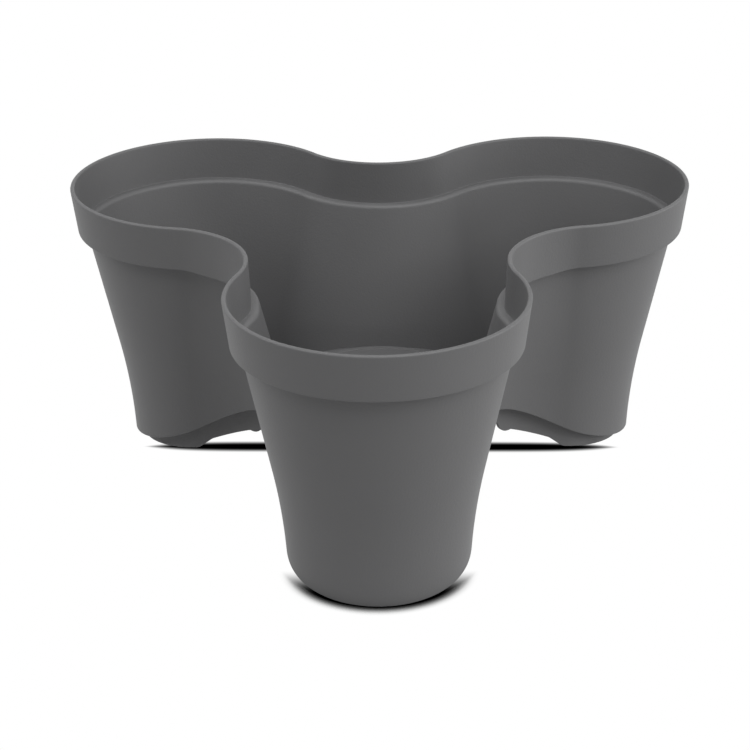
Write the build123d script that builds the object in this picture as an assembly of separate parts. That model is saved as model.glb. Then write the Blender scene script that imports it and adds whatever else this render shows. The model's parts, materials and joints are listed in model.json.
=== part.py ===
from build123d import *
import os
from math import acos, atan2, cos, degrees, radians, sin, sqrt, tan

# A three-lobed herb planter for indoors: one moulded body with three cups that open into one another,
# a lift-out watering disc in the middle and a push-in drain plug in the floor of each cup.
# Millimetres, +Z up. The origin is on the surface that the planter stands on, below the middle of its
# width and depth. One lobe points to the front, along -Y. Each piece is drawn about the planter's upright
# axis, where the three lobes meet, and then moved to its place.

# Plan of the body
LOBE_DISTANCE = 120.0      # from the middle of the planter to the middle of each lobe
RIM_RADIUS = 82.5          # outer radius of a lobe at the top of the rim
SADDLE_RADIUS = 52.0       # outer radius of the hollow between two lobes at the top of the rim
LOBES = {"front": -90.0, "right": 30.0, "left": 150.0}   # direction of each lobe, degrees

# Wall, from the rim down
HEIGHT = 162.0
WALL = 2.0
LIP_ROUND = 0.9            # rounding of the rim's two edges
BAND_HEIGHT = 26.0         # the raised band round the rim
BAND_DRAFT = 3.4           # the band narrows by this much from the rim to its lower edge
BAND_STEP = 5.2            # the wall steps in by this much under the band
BAND_EDGE_ROUND = 0.7
LEDGE_ROUND = 3.0          # rounding of the ledge inside, between the band and the wall
WALL_TAPER = 11.8          # degrees from upright, upper part of the wall
FOOT_TAPER = 2.0           # degrees from upright, where the wall ends at the bottom
EASE_HEIGHT = 63.0         # below this height the wall bends from the first taper to the second

# Floor and the wave of the wall's lower edge, which the floor follows
FLOOR = 2.0
PLATEAU = 48.0             # underside of the raised middle of the floor
LOBE_FLOOR = 14.0          # underside of the floor in each lobe
SKIRT_DROP = 1.2           # the wall reaches this far below the floor
WAVE_STEEP = 32.0          # degrees from level, the straight run between the middle and a lobe
CREST_ROUND = 48.0         # bend from the raised middle into the straight run
TROUGH_ROUND = 180.0       # bend from the straight run to a lobe's tip
TIP_LEAN = 8.7             # degrees from level, where the wave reaches a lobe's tip
TIP_CLEARANCE = 0.4        # the wave stays this far off the ground there

# Stand rib, a thin upright wall under the floor that carries the planter
RIB_INSET = 5.0            # inside the outer face of the wall's foot
RIB = 2.4
RIB_MIDDLE_HEIGHT = 38.0   # lower edge of the rib in the middle of a saddle
RISE_DISTANCE = 63.6       # from the middle of the planter to the end of that raised part
HIP_DISTANCE = 74.4        # from the middle of the planter to the foot of the rise
HIP_HEIGHT = 24.4
KNEE_DISTANCE = 104.0      # from the middle of the planter to where the rib starts to drop
KNEE_HEIGHT = 11.6
HEEL_DISTANCE = 112.6      # from the middle of the planter to where the drop ends
HEEL_HEIGHT = 4.8
FOOT_START = 150.0         # from the middle of the planter to where the rib meets the ground
RISE_ROUND = 5.0           # rounding of the top of the rise
RIB_BEND_ROUND = 8.0       # rounding of the hip, the knee and the heel
FOOT_ROUND = 60.0
LUG_ANGLE = 26.5           # degrees to each side of a saddle's middle, about the saddle's own axis
LUG_DROP = 1.4             # below the rib's lower edge
LUG_ROUND = 7.5            # of the lug's bottom

# Middle opening, its collar and the watering disc
COLLAR_RADIUS = 51.0
COLLAR = 3.7
COLLAR_HEIGHT = 7.5        # above the floor's raised middle
COLLAR_ROUND = 0.8
OPENING_RADIUS = 40.0
DISC_CLEARANCE = 0.35      # round the disc, inside the collar
DISC_SINK = 1.0            # the disc's top lies this far below the top of the collar
DISC_TOP = 2.2
DISC_SKIRT = 2.5
DISC_ROUND = 0.6
SLOT_COUNTS = (5, 9, 13)   # slots in each ring, from the middle outwards
FIRST_RING_RADIUS = 12.0
RING_SPACING = 10.0
SLOT_WIDTH = 3.2
SLOT_SPAN = 0.6            # part of each ring that is open

# Drain holes and plugs
DRAIN_RADIUS = 8.0
PLUG_CLEARANCE = 0.3       # round the stem, inside the hole
PLUG_HEAD_RADIUS = 12.5
PLUG_HEAD = 2.6
PLUG_HEAD_ROUND = 0.9
PLUG_STEM = 7.0            # below the underside of the lobe's floor
PLUG_TIP_CHAMFER = 1.6
GRIP_WIDTH = 13.0
GRIP_HEIGHT = 12.0         # above the plug's head
GRIP_THICKNESS = 4.0
GRIP_ROUND = 3.0

# Worked out from the sizes above
BLEND = RIM_RADIUS + SADDLE_RADIUS     # lobe axis to saddle axis
SADDLE_DISTANCE = (LOBE_DISTANCE + sqrt(4 * BLEND**2 - 3 * LOBE_DISTANCE**2)) / 2
SADDLE_TURN = 60.0                     # degrees from a lobe's direction to the next saddle's
SADDLE_X = SADDLE_DISTANCE * cos(radians(SADDLE_TURN))
SADDLE_Y = SADDLE_DISTANCE * sin(radians(SADDLE_TURN))
LOBE_HALF = degrees(atan2(SADDLE_Y, SADDLE_X - LOBE_DISTANCE))   # half the angle of a lobe's round
SADDLE_HALF = LOBE_HALF - SADDLE_TURN
SADDLES = [angle + SADDLE_TURN for angle in LOBES.values()]
BAND_BOTTOM = HEIGHT - BAND_HEIGHT
BAND_LEAN = BAND_DRAFT / BAND_HEIGHT
BODY_TOP_RADIUS = RIM_RADIUS - BAND_DRAFT - BAND_STEP
EASE_RADIUS = EASE_HEIGHT / (sin(radians(WALL_TAPER)) - sin(radians(FOOT_TAPER)))
EASE_START = BODY_TOP_RADIUS - (BAND_BOTTOM - EASE_HEIGHT) * tan(radians(WALL_TAPER))
EASE_CENTRE = (
    EASE_START + EASE_RADIUS * cos(radians(WALL_TAPER)),
    EASE_HEIGHT - EASE_RADIUS * sin(radians(WALL_TAPER)),
)
RIB_RADIUS = EASE_CENTRE[0] - EASE_RADIUS * cos(radians(FOOT_TAPER)) - RIB_INSET
PLATEAU_TOP = PLATEAU + FLOOR
LOBE_FLOOR_TOP = LOBE_FLOOR + FLOOR
REACH = LOBE_DISTANCE + RIM_RADIUS + WALL      # beyond everything, from the planter axis
PLACE = Pos(0, LOBE_DISTANCE / 4, 0)           # from the planter axis to the middle of width and depth


def ease_point(angle, inset=0.0):
    """Radius and height of the wall's lower bend where it leans by an angle, an inset inside its face."""
    reach = EASE_RADIUS + inset
    return EASE_CENTRE[0] - reach * cos(radians(angle)), EASE_CENTRE[1] + reach * sin(radians(angle))


def wall_radius(height):
    """Outer radius of a lobe at a height within the wall's lower bend."""
    return EASE_CENTRE[0] - sqrt(EASE_RADIUS**2 - (height - EASE_CENTRE[1])**2)


def trough_centre():
    """Centre of the wave's outer bend, which ends at the tip of a lobe."""
    lean = radians(TIP_LEAN)
    tip = LOBE_DISTANCE + wall_radius(TIP_CLEARANCE)
    return tip + TROUGH_ROUND * sin(lean), TIP_CLEARANCE + TROUGH_ROUND * cos(lean)


TROUGH_CENTRE = trough_centre()


def trough_point(lean, above=0.0):
    """Point where the wave's outer bend, or a line above it, leans by an angle from level."""
    radius, angle = TROUGH_ROUND - above, radians(lean)
    return TROUGH_CENTRE[0] - radius * sin(angle), TROUGH_CENTRE[1] - radius * cos(angle)


def trough_lean(height, above):
    """Lean in degrees of a line above the wave's outer bend where it has a height."""
    return degrees(acos((TROUGH_CENTRE[1] - height) / (TROUGH_ROUND - above)))


def crest_centre():
    """Centre of the wave's inner bend, from the raised middle into the straight run."""
    steep = radians(WAVE_STEEP)
    foot = trough_point(WAVE_STEEP)
    height = PLATEAU - SKIRT_DROP - CREST_ROUND
    brow = height + CREST_ROUND * cos(steep)
    return foot[0] - (brow - foot[1]) / tan(steep) - CREST_ROUND * sin(steep), height


CREST_CENTRE = crest_centre()


def crest_point(lean, above=0.0):
    """Point where the wave's inner bend, or a line above it, leans by an angle from level."""
    radius, angle = CREST_ROUND + above, radians(lean)
    return CREST_CENTRE[0] + radius * sin(angle), CREST_CENTRE[1] + radius * cos(angle)


def wave_line(end, above=0.0):
    """Edges of the wave, or of a line above it, from the planter axis out to a lean of its outer bend."""
    top = crest_point(0, above)
    brow, foot = crest_point(WAVE_STEEP, above), trough_point(WAVE_STEEP, above)
    last = trough_point(end, above)
    return [
        Line((0, top[1]), top),
        ThreePointArc(top, crest_point(WAVE_STEEP / 2, above), brow),
        Line(brow, foot),
        ThreePointArc(foot, trough_point((WAVE_STEEP + end) / 2, above), last),
    ]


def corner(face, point):
    """The face's corner nearest to a point."""
    return face.vertices().sort_by_distance((*point, 0))[0]


def turned(section, centre, start, sweep=360.0):
    """Solid made by turning an upright section, drawn as radius and height, about an upright axis."""
    angle = radians(start)
    plane = Plane(
        origin=(*centre, 0), x_dir=(cos(angle), sin(angle), 0), z_dir=(sin(angle), -cos(angle), 0)
    )
    return revolve(plane * section, Axis((*centre, 0), (0, 0, 1)), sweep)


def polar(distance, angle):
    """Plan position at a distance and direction from the planter axis."""
    return distance * cos(radians(angle)), distance * sin(radians(angle))


def trefoil(section):
    """Ring round the trefoil: a section, given as a function of how radii are drawn, in six turns."""
    ring = None
    for lobe, saddle in zip(LOBES.values(), SADDLES):
        lobe_turn = turned(
            section(lambda r: r), polar(LOBE_DISTANCE, lobe), lobe - LOBE_HALF, 2 * LOBE_HALF
        )
        saddle_turn = turned(
            section(lambda r: BLEND - r),
            polar(SADDLE_DISTANCE, saddle),
            saddle + 180 - SADDLE_HALF,
            2 * SADDLE_HALF,
        )
        ring = lobe_turn + saddle_turn if ring is None else ring + lobe_turn + saddle_turn
    return ring


def wall_section(drawn):
    """Section of the wall from the rim to below the ground, drawn at radii that a function gives."""
    lean = WALL / cos(atan2(BAND_DRAFT, BAND_HEIGHT))
    ledge = BAND_BOTTOM + WALL
    inner_ease = ease_point(WALL_TAPER, WALL)
    rim_outer = (RIM_RADIUS, HEIGHT)
    rim_inner = (RIM_RADIUS - lean, HEIGHT)
    band_edge = (RIM_RADIUS - BAND_DRAFT, BAND_BOTTOM)
    ledge_outer = (RIM_RADIUS - lean - BAND_LEAN * (HEIGHT - ledge), ledge)
    ledge_inner = (inner_ease[0] + (ledge - inner_ease[1]) * tan(radians(WALL_TAPER)), ledge)
    middle = (WALL_TAPER + FOOT_TAPER) / 2

    def at(point):
        return drawn(point[0]), point[1]

    edges = [
        Line(at(rim_outer), at(band_edge)),
        Line(at(band_edge), at((BODY_TOP_RADIUS, BAND_BOTTOM))),
        Line(at((BODY_TOP_RADIUS, BAND_BOTTOM)), at(ease_point(WALL_TAPER))),
        ThreePointArc(*(at(ease_point(a)) for a in (WALL_TAPER, middle, FOOT_TAPER))),
        Line(at(ease_point(FOOT_TAPER)), at(ease_point(FOOT_TAPER, WALL))),
        ThreePointArc(*(at(ease_point(a, WALL)) for a in (FOOT_TAPER, middle, WALL_TAPER))),
        Line(at(inner_ease), at(ledge_inner)),
        Line(at(ledge_inner), at(ledge_outer)),
        Line(at(ledge_outer), at(rim_inner)),
        Line(at(rim_inner), at(rim_outer)),
    ]
    face = make_face(edges)
    for point, radius in (
        (rim_outer, LIP_ROUND),
        (rim_inner, LIP_ROUND),
        (band_edge, BAND_EDGE_ROUND),
        (ledge_inner, LEDGE_ROUND),
    ):
        face = fillet(corner(face, at(point)), radius)
    return face


def core():
    """The trefoil filled to the middle of the wall, from the ground to the lower bend's top."""
    half = WALL / 2
    low, high = ease_point(FOOT_TAPER, half), ease_point(WALL_TAPER, half)

    def section(drawn):
        bend_points = [ease_point(angle, half) for angle in (FOOT_TAPER, WALL_TAPER / 2, WALL_TAPER)]
        bend = ThreePointArc(*((drawn(radius), height) for radius, height in bend_points))
        outline = Polyline((drawn(low[0]), low[1]), (0, low[1]), (0, high[1]), (drawn(high[0]), high[1]))
        return make_face([bend, outline])

    corners = []
    for lobe, saddle in zip(LOBES.values(), SADDLES):
        corners += [polar(LOBE_DISTANCE, lobe), polar(SADDLE_DISTANCE, saddle)]
    filled = Pos(0, 0, low[1]) * extrude(make_face(Polyline(*corners, close=True)), high[1] - low[1])
    for saddle in SADDLES:
        filled -= turned(section(lambda r: BLEND - r), polar(SADDLE_DISTANCE, saddle), saddle)
    for lobe in LOBES.values():
        filled += turned(section(lambda r: r), polar(LOBE_DISTANCE, lobe), lobe - LOBE_HALF, 2 * LOBE_HALF)
    return filled


def below_wave():
    """Everything below the wave-shaped lower edge of the wall."""
    end = trough_point(0)
    depth = end[1] - 2 * WALL
    rest = Polyline(end, (end[0], depth), (0, depth), (0, PLATEAU - SKIRT_DROP))
    return turned(make_face([*wave_line(0), rest]), (0, 0), 0)


def floor_line(above):
    """Edges of the floor's line from the planter axis outwards, a distance above its underside."""
    raised, level = SKIRT_DROP + above, LOBE_FLOOR + above
    lean = trough_lean(level, raised)
    return wave_line(lean, raised) + [Line(trough_point(lean, raised), (REACH, level))]


def floor_plate():
    """The floor: a raised middle that falls along the wave to a level floor in each lobe."""
    edges = floor_line(0) + floor_line(FLOOR)
    edges.append(Line((0, PLATEAU), (0, PLATEAU_TOP)))
    edges.append(Line((REACH, LOBE_FLOOR), (REACH, LOBE_FLOOR_TOP)))
    return turned(make_face(edges), (0, 0), 0)


def rib_edge():
    """Start and edges of the stand rib's lower line from the planter axis outwards, its bends rounded."""
    start = (0, RIB_MIDDLE_HEIGHT)
    rise, hip = (RISE_DISTANCE, RIB_MIDDLE_HEIGHT), (HIP_DISTANCE, HIP_HEIGHT)
    knee, heel = (KNEE_DISTANCE, KNEE_HEIGHT), (HEEL_DISTANCE, HEEL_HEIGHT)
    rounds = [RISE_ROUND, RIB_BEND_ROUND, RIB_BEND_ROUND, RIB_BEND_ROUND, FOOT_ROUND]
    return start, FilletPolyline(start, rise, hip, knee, heel, (FOOT_START, 0), (REACH, 0), radius=rounds)


def upright(outer, inner, bottom, top):
    """Upright rectangle between two radii and two heights."""
    return make_face(Polyline((outer, bottom), (outer, top), (inner, top), (inner, bottom), close=True))


def rib_section(drawn):
    """Upright section of the stand rib, taller than needed."""
    return upright(drawn(RIB_RADIUS), drawn(RIB_RADIUS - RIB), 0, PLATEAU_TOP)


def stand_rib():
    """The stand rib with its lugs, from its lower edge up into the floor."""
    start, lower = rib_edge()
    middle_of_floor = FLOOR / 2
    edges = floor_line(middle_of_floor) + list(lower.edges())
    edges.append(Line(start, (0, PLATEAU + middle_of_floor)))
    edges.append(Line((REACH, 0), (REACH, LOBE_FLOOR + middle_of_floor)))
    room = turned(make_face(edges), (0, 0), 0)
    whole = trefoil(rib_section)
    rib = whole & room
    for saddle in SADDLES:
        for side in (-LUG_ANGLE, LUG_ANGLE):
            rib += whole & lug(saddle, side)
    return rib


def lug(saddle, side):
    """Rod across the stand rib, to one side of a saddle's middle. Its round bottom hangs below the rib."""
    centre = polar(SADDLE_DISTANCE, saddle)
    away = polar(BLEND - RIB_RADIUS + RIB / 2, saddle + 180 + side)
    x, y = centre[0] + away[0], centre[1] + away[1]
    height = rib_height(sqrt(x**2 + y**2)) - LUG_DROP + LUG_ROUND
    return Pos(x, y, height) * Rot(0, 0, saddle + side) * Rot(0, 90, 0) * Cylinder(LUG_ROUND, 2 * RIB)


def rib_height(distance):
    """Height of the rib's lower edge between the hip and the knee."""
    share = (distance - HIP_DISTANCE) / (KNEE_DISTANCE - HIP_DISTANCE)
    return HIP_HEIGHT + share * (KNEE_HEIGHT - HIP_HEIGHT)


def collar():
    """Raised ring round the middle opening."""
    outer, inner = COLLAR_RADIUS, COLLAR_RADIUS - COLLAR
    bottom, top = PLATEAU + FLOOR / 2, PLATEAU_TOP + COLLAR_HEIGHT
    face = upright(outer, inner, bottom, top)
    for radius in (outer, inner):
        face = fillet(corner(face, (radius, top)), COLLAR_ROUND)
    return turned(face, (0, 0), 0)


def drain_place(lobe):
    """Plan position of a lobe's drain hole, in the middle of its level floor."""
    raised = SKIRT_DROP + FLOOR
    start = trough_point(trough_lean(LOBE_FLOOR_TOP, raised), raised)
    end = LOBE_DISTANCE + wall_radius(LOBE_FLOOR_TOP) - WALL
    return polar((start[0] + end) / 2, lobe)


def planter_body():
    """The one moulding: wall, floor, collar and stand rib, with its openings."""
    body = trefoil(wall_section) - below_wave()
    body += floor_plate() & core()
    body += stand_rib()
    body += collar()
    through = 4 * FLOOR
    body -= Pos(0, 0, PLATEAU + FLOOR / 2) * Cylinder(OPENING_RADIUS, through)
    for lobe in LOBES.values():
        body -= Pos(*drain_place(lobe), LOBE_FLOOR + FLOOR / 2) * Cylinder(DRAIN_RADIUS, through)
    return body


def watering_disc():
    """Lift-out disc that stands on the floor's raised middle, inside the collar, with slots for water."""
    radius = COLLAR_RADIUS - COLLAR - DISC_CLEARANCE
    bottom, top = PLATEAU_TOP, PLATEAU_TOP + COLLAR_HEIGHT - DISC_SINK
    under = top - DISC_TOP
    inner = radius - DISC_SKIRT
    outline = [(0, under), (inner, under), (inner, bottom), (radius, bottom), (radius, top), (0, top)]
    face = fillet(corner(make_face(Polyline(*outline, close=True)), (radius, top)), DISC_ROUND)
    disc = turned(face, (0, 0), 0)
    for place, count in enumerate(SLOT_COUNTS):
        ring = FIRST_RING_RADIUS + place * RING_SPACING
        pitch = 360.0 / count
        for index in range(count):
            arc = CenterArc((0, 0), ring, index * pitch, pitch * SLOT_SPAN)
            slot = extrude(SlotArc(arc, SLOT_WIDTH), top)
            disc -= Pos(0, 0, bottom) * slot
    return disc


def drain_plug(lobe):
    """Push-in plug: a head on the lobe's floor, a stem through its drain hole and a tab to grip."""
    stem = DRAIN_RADIUS - PLUG_CLEARANCE
    top, tip = LOBE_FLOOR_TOP + PLUG_HEAD, LOBE_FLOOR - PLUG_STEM
    outline = [(0, tip), (stem, tip), (stem, LOBE_FLOOR_TOP), (PLUG_HEAD_RADIUS, LOBE_FLOOR_TOP)]
    outline += [(PLUG_HEAD_RADIUS, top), (0, top)]
    face = make_face(Polyline(*outline, close=True))
    face = fillet(corner(face, (PLUG_HEAD_RADIUS, top)), PLUG_HEAD_ROUND)
    face = chamfer(corner(face, (stem, tip)), PLUG_TIP_CHAMFER)
    place = drain_place(lobe)
    plug = turned(face, place, lobe)
    across = GRIP_WIDTH / 2
    tab = upright(across, -across, -PLUG_HEAD / 2, GRIP_HEIGHT)
    for side in (across, -across):
        tab = fillet(corner(tab, (side, GRIP_HEIGHT)), GRIP_ROUND)
    angle = radians(lobe + 90)
    plane = Plane(
        origin=(*place, top), x_dir=(cos(angle), sin(angle), 0), z_dir=(sin(angle), -cos(angle), 0)
    )
    return plug + extrude(plane * tab, GRIP_THICKNESS / 2, both=True)


os.makedirs("parts", exist_ok=True)
export_step(PLACE * planter_body(), "parts/planter_body.step")
export_step(PLACE * watering_disc(), "parts/watering_disc.step")
for name, direction in LOBES.items():
    export_step(PLACE * drain_plug(direction), f"parts/drain_plug_{name}.step")
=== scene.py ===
"""Dresses the three-lobed herb planter: its moulded body, watering disc, drain plugs and a plain studio.

Lengths are in metres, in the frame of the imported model: +Z up, the origin on the ground below the middle of
the planter's width and depth, one lobe to the front along -Y. The planter's own upright axis, where the lobes
meet, stands a quarter of the lobe distance behind that origin.
"""
import json
import logging
from dataclasses import dataclass, field, replace
from enum import Enum
from math import atan2, ceil, cos, pi, radians, sin, sqrt, tan
from typing import Any, Callable, Sequence, Union

import bmesh
import bpy
import numpy as np
from mathutils import Matrix, Vector


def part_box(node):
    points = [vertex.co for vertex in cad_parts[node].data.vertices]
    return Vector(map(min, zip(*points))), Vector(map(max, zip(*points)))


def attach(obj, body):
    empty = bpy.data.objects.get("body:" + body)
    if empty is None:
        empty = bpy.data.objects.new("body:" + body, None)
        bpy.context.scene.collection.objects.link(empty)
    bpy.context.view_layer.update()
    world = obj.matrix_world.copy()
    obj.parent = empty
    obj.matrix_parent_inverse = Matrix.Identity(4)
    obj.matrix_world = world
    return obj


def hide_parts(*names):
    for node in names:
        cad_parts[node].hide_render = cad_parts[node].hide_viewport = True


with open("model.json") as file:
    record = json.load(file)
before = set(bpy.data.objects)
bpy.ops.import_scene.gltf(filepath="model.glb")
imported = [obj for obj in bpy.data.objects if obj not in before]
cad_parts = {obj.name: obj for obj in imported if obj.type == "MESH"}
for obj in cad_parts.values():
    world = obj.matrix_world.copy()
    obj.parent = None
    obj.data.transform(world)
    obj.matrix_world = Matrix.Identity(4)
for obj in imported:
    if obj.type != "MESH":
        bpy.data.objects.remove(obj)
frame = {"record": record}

LOG = logging.getLogger("herb_planter")
MM = 0.001
SHARP_ANGLE = radians(35)       # edges that fold by more than this are shaded as sharp
WELD = 0.01 * MM                # points closer than this are one point
SWEEP_ATTRIBUTES = ("base", "outward", "turn", "offset", "level", "inset")
WAVE_STOPS = ("Crest", "Brow", "Foot", "Trough")           # places where the floor's wave changes
RIB_STOPS = ("Rise", "Hip", "Knee", "Heel", "Ground")      # places where the stand rib's lower edge bends
STOP_SIZES = ("distance", "height", "softness")
MIX_INPUTS = (0, 6, 7)          # share and two colours that go into a mix node
MIX_COLOUR = 2                  # the colour that comes out of it
Point = tuple[float, float]
Triple = tuple[float, float, float]
Value = Union["Field", float]


class Lobe(Enum):
    """The three lobes, each with its direction from the planter's axis in degrees."""

    FRONT = -90.0
    RIGHT = 30.0
    LEFT = 150.0


def two_value_sum(operation: str, swapped: bool = False) -> Callable[["Field", Value], "Field"]:
    """Method of a field that does one sum with another value.

    Args:
        operation: the sum, as a math node names it.
        swapped: whether the other value comes first.

    Returns:
        The method.
    """
    def method(self: "Field", other: Value) -> "Field":
        """Does the sum in the field's own tree."""
        return self.sheet.math(operation, *((other, self) if swapped else (self, other)))

    return method


class Field:
    """A value in a node tree that takes part in sums like a number."""

    __add__ = two_value_sum("ADD")
    __sub__ = two_value_sum("SUBTRACT")
    __rsub__ = two_value_sum("SUBTRACT", swapped=True)
    __mul__ = two_value_sum("MULTIPLY")
    __truediv__ = two_value_sum("DIVIDE")
    least = two_value_sum("MINIMUM")
    most = two_value_sum("MAXIMUM")

    def __init__(self, sheet: "NodeSheet", socket: bpy.types.NodeSocket) -> None:
        """Keeps the tree and the socket that gives the value."""
        self.sheet = sheet
        self.socket = socket

    def squared(self) -> "Field":
        """This value times itself."""
        return self * self

    def root(self) -> "Field":
        """Square root."""
        return self.sheet.math("SQRT", self)


class NodeSheet:
    """A node tree that is filled in by short calls."""

    def __init__(self, tree: bpy.types.NodeTree) -> None:
        """Keeps the tree that the nodes go into."""
        self.tree = tree

    def add(self, kind: str, inputs: dict[Any, Any] | None = None, **settings: Any) -> bpy.types.Node:
        """Adds one node.

        Args:
            kind: the node's type.
            inputs: what goes into its sockets, by name or number: a field, a socket or a plain value.
            settings: the node's own properties.

        Returns:
            The new node.
        """
        node = self.tree.nodes.new(kind)
        for name, value in settings.items():
            setattr(node, name, value)
        for key, value in (inputs or {}).items():
            self.feed(node.inputs[key], value)
        return node

    def feed(self, socket: bpy.types.NodeSocket, value: Any) -> None:
        """Links a field or socket to an input, or sets the input to a plain value."""
        if isinstance(value, Field):
            value = value.socket
        if isinstance(value, bpy.types.NodeSocket):
            self.tree.links.new(value, socket)
        else:
            socket.default_value = value

    def math(self, operation: str, *values: Value) -> Field:
        """Result of one sum on numbers."""
        node = self.add("ShaderNodeMath", dict(enumerate(values)), operation=operation)
        return Field(self, node.outputs[0])

    def vector(self, operation: str, *values: Any) -> Field:
        """Result of one sum on vectors, as a vector."""
        node = self.add("ShaderNodeVectorMath", dict(enumerate(values)), operation=operation)
        return Field(self, node.outputs["Vector"])

    def scaled(self, vector: Field, factor: Value) -> Field:
        """A vector times a number."""
        node = self.add("ShaderNodeVectorMath", {0: vector, "Scale": factor}, operation="SCALE")
        return Field(self, node.outputs["Vector"])

    def upright(self, height: Value) -> Field:
        """Vector along +Z of a given height."""
        return Field(self, self.add("ShaderNodeCombineXYZ", {"Z": height}).outputs[0])

    def ramp(self, value: Value, start: Value, end: Value) -> Field:
        """Soft ramp from 0, where a value is at its start, to 1, where it is at its end."""
        node = self.add("ShaderNodeMapRange", {"Value": value, "From Min": start, "From Max": end},
                        interpolation_type="SMOOTHSTEP")
        return Field(self, node.outputs["Result"])

    def level_length(self, vector: Field) -> Field:
        """Length of a vector, seen from above."""
        flat = self.vector("MULTIPLY", vector, (1.0, 1.0, 0.0))
        node = self.add("ShaderNodeVectorMath", {0: flat}, operation="LENGTH")
        return Field(self, node.outputs["Value"])


class GeometryTree(NodeSheet):
    """A Geometry Nodes tree with named inputs that ends in real faces with a material."""

    def __init__(self, name: str, inputs: dict[str, str]) -> None:
        """Starts the tree.

        Args:
            name: the tree's name.
            inputs: name of each input and the type of its socket.
        """
        super().__init__(bpy.data.node_groups.new(name, "GeometryNodeTree"))
        interface = self.tree.interface
        interface.new_socket("Geometry", in_out="OUTPUT", socket_type="NodeSocketGeometry")
        interface.new_socket("Geometry", in_out="INPUT", socket_type="NodeSocketGeometry")
        self.identifiers: dict[str, str] = {}
        for key, kind in {**inputs, "Material": "NodeSocketMaterial"}.items():
            self.identifiers[key] = interface.new_socket(key, in_out="INPUT", socket_type=kind).identifier
        self.source = self.add("NodeGroupInput")

    def given(self, name: str) -> Field:
        """The value of a named input."""
        return Field(self, self.source.outputs[name])

    def attribute(self, name: str, kind: str = "FLOAT") -> Field:
        """A named attribute of the geometry."""
        node = self.add("GeometryNodeInputNamedAttribute", {"Name": name}, data_type=kind)
        return Field(self, node.outputs["Attribute"])

    def shape_of(self, name: str) -> bpy.types.NodeSocket:
        """Geometry of the object that a named input gives."""
        return self.add("GeometryNodeObjectInfo", {"Object": self.given(name)}).outputs["Geometry"]

    def close(self, geometry: bpy.types.NodeSocket) -> None:
        """Ends the tree: real faces, smooth, with the material."""
        smooth = self.add("GeometryNodeSetShadeSmooth", {"Geometry": geometry})
        real = self.add("GeometryNodeRealizeInstances", {"Geometry": smooth.outputs[0]})
        painted = self.add(
            "GeometryNodeSetMaterial", {"Geometry": real.outputs[0], "Material": self.given("Material")}
        )
        self.add("NodeGroupOutput", {"Geometry": painted.outputs[0]})

    def run(self, start: bpy.types.Mesh, values: dict[str, Any]) -> bpy.types.Mesh:
        """Runs the tree on a mesh.

        Args:
            start: the mesh that goes in.
            values: the named inputs. A mesh given for an object input is wrapped in a passing object.

        Returns:
            A plain mesh of the result.
        """
        passing = [in_scene(start.name, start)]
        modifier = passing[0].modifiers.new(self.tree.name, "NODES")
        modifier.node_group = self.tree
        for name, value in values.items():
            if isinstance(value, bpy.types.Mesh):
                value = in_scene(value.name, value)
                passing.append(value)
            modifier[self.identifiers[name]] = value
        shown = passing[0].evaluated_get(bpy.context.evaluated_depsgraph_get())
        result = bpy.data.meshes.new_from_object(shown)
        for helper in passing:
            bpy.data.objects.remove(helper)
        return result


def in_scene(name: str, data: bpy.types.ID) -> bpy.types.Object:
    """A new object in the scene that holds a mesh, a lamp or a camera."""
    made = bpy.data.objects.new(name, data)
    bpy.context.scene.collection.objects.link(made)
    return made


def rounded_line(corners: Sequence[tuple[Point, float]], closed: bool) -> list[Point]:
    """Line through corners, each rounded by its own radius, with a short run on both sides of each round.

    Args:
        corners: each corner and its radius, 0 for a sharp one or an end.
        closed: whether the last corner leads back to the first.

    Returns:
        The points of the line.
    """
    hold = 0.5 * MM             # length of the short runs
    step = radians(15)          # the most that a round turns from point to point
    points: list[Point] = []
    count = len(corners)
    for index, (corner, radius) in enumerate(corners):
        here = Vector(corner)
        if radius == 0 or (not closed and index in (0, count - 1)):
            points.append(tuple(here))
            continue
        back = Vector(corners[index - 1][0]) - here
        on = Vector(corners[(index + 1) % count][0]) - here
        turn = pi - back.angle(on)
        tangent = radius * tan(turn / 2)
        way_in, way_out = back.normalized(), on.normalized()
        centre = here + (way_in + way_out).normalized() * (radius / cos(turn / 2))
        first = here + way_in * tangent - centre
        side = 1 if way_in.x * way_out.y - way_in.y * way_out.x < 0 else -1
        pieces = max(2, ceil(turn / step))
        if back.length > 2 * (tangent + hold):
            points.append(tuple(here + way_in * (tangent + hold)))
        for piece in range(pieces + 1):
            spin = Matrix.Rotation(side * turn * piece / pieces, 2)
            points.append(tuple(centre + spin @ first))
        if on.length > 2 * (tangent + hold):
            points.append(tuple(here + way_out * (tangent + hold)))
    return points


def loop_mesh(name: str, points: np.ndarray, attributes: dict[str, np.ndarray]) -> bpy.types.Mesh:
    """Closed line of edges through points, with attributes on the points.

    Args:
        name: the mesh's name.
        points: positions, one row each.
        attributes: numbers or vectors for each point, by name.

    Returns:
        The mesh.
    """
    mesh = bpy.data.meshes.new(name)
    count = len(points)
    mesh.from_pydata(points.tolist(), [(i, (i + 1) % count) for i in range(count)], [])
    for key, values in attributes.items():
        kind, part = ("FLOAT", "value") if values.ndim == 1 else ("FLOAT_VECTOR", "vector")
        layer = mesh.attributes.new(key, kind, "POINT")
        layer.data.foreach_set(part, values.astype(np.float32).ravel())
    return mesh


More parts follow.
